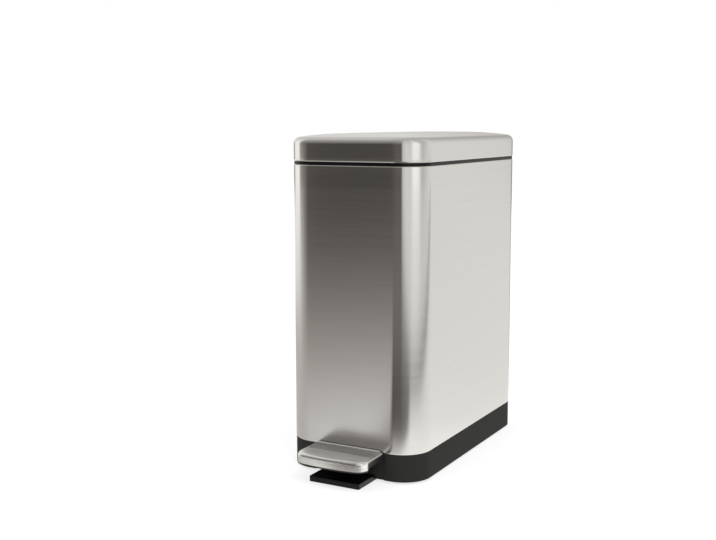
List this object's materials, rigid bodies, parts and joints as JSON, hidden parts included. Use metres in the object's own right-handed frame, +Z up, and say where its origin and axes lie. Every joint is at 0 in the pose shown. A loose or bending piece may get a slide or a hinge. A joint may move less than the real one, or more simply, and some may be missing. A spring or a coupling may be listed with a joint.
{
  "type": "step bin",
  "caption": "Slim rectangular step bin: brushed steel sleeve and hinged lid, black base, pedal that lifts the lid through a lever and rod, and a removable inner bucket.",
  "frame": {"origin": "on the floor under the centre of the body's footprint", "axes": "+Z up, -Y towards the pedal at the front, +X to the side"},
  "size_m": [0.18, 0.3874, 0.4078],
  "materials": {
    "brushed_steel": "fine horizontal brushing, satin",
    "pedal_steel": "brushed across the pedal, satin",
    "black_plastic": "fine moulded texture, matte",
    "grey_plastic": "plain moulded, matte",
    "bucket_plastic": "smooth moulded, low sheen",
    "rubber": "soft, dull",
    "zinc_steel": "zinc plated, slightly cloudy"
  },
  "bodies": {
    "body": {"body_shell": "brushed_steel", "top_collar": "black_plastic", "base_skirt": "black_plastic", "base_deck": "grey_plastic", "base_bottom": "grey_plastic", "foot_plate": "black_plastic", "rubber_feet": "rubber", "base_screws": "zinc_steel", "foot_plate_screws": "zinc_steel", "hinge_leaf": "zinc_steel", "hinge_pin": "zinc_steel", "hinge_screws": "zinc_steel", "rod_channel": "grey_plastic", "rod_guide": "grey_plastic", "rod_bush": "zinc_steel", "damper_cylinder": "zinc_steel", "damper_caps": "grey_plastic", "damper_clamp": "grey_plastic", "pivot_bracket": "zinc_steel", "pivot_pin": "zinc_steel", "pivot_screws": "zinc_steel"},
    "lid": {"lid_cover": "brushed_steel", "lid_liner": "black_plastic", "lid_bumpers": "rubber", "lid_bracket": "zinc_steel", "crank_pin": "zinc_steel", "lid_screws": "zinc_steel"},
    "pedal": {"pedal_cover": "pedal_steel", "pedal_core": "black_plastic", "pedal_lever": "zinc_steel", "pedal_rivets": "zinc_steel", "lever_end_pin": "zinc_steel"},
    "lift_rod": {"lift_rod": "zinc_steel", "rod_yoke": "zinc_steel", "rod_foot": "zinc_steel", "damper_piston": "zinc_steel"},
    "bucket": {"bucket": "bucket_plastic"}
  },
  "joints": [
    {"name": "lid_hinge", "type": "hinge", "parent": "body", "child": "lid", "pos_m": [0, 0.167, 0.3792], "axis": [-1, 0, 0], "range_deg": [0, 80]},
    {"name": "pedal_pivot", "type": "hinge", "parent": "body", "child": "pedal", "pos_m": [0, -0.104, 0.02336], "axis": [1, 0, 0], "range_deg": [0, 5.82]},
    {"name": "rod_slide", "type": "slide", "parent": "body", "child": "lift_rod", "axis": [0, 0, 1], "range_m": [0, 0.02572]},
    {"name": "bucket_lift", "type": "slide", "parent": "body", "child": "bucket", "axis": [0, 0, 1], "range_m": [0, 0.02]}
  ],
  "couplings": [
    {"joint": "pedal_pivot", "follows": "lid_hinge", "ratio": 0.072718},
    {"joint": "rod_slide", "follows": "lid_hinge", "m_per_rad": 0.018415}
  ]
}
